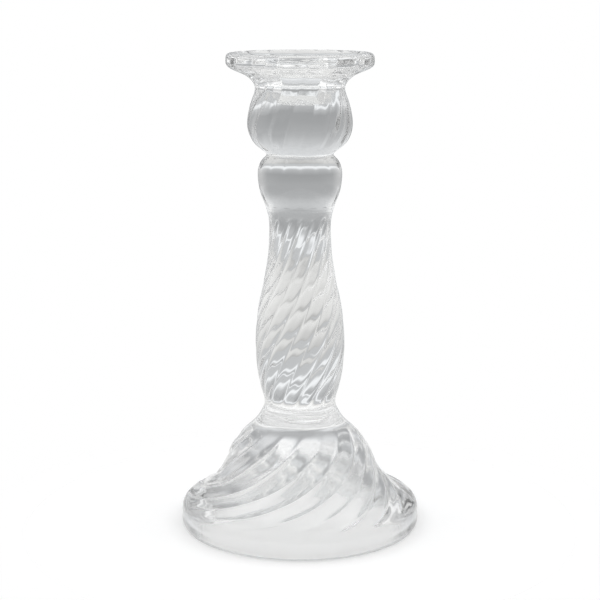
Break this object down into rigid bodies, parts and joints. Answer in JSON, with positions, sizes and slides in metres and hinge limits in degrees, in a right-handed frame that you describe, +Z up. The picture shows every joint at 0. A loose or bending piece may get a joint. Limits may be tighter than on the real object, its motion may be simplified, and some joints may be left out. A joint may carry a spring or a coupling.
{
  "type": "candlestick",
  "caption": "Clear glass candlestick with a fluted cup and scalloped drip rim for a taper candle, a smooth knop, a stem with spiral ribs and a hollow bell foot.",
  "frame": {"origin": "on the candlestick's axis, at the surface its foot stands on", "axes": "+Z up along the axis, from the foot to the candle socket's mouth; -Y is the front"},
  "size_m": [0.1224, 0.1224, 0.24],
  "materials": {
    "clear_glass": "clear pressed glass, fire polished"
  },
  "bodies": {
    "root": {"foot": "clear_glass", "lower_wafer": "clear_glass", "stem": "clear_glass", "middle_wafer": "clear_glass", "knop": "clear_glass", "upper_wafer": "clear_glass", "candle_cup": "clear_glass"}
  },
  "joints": []
}
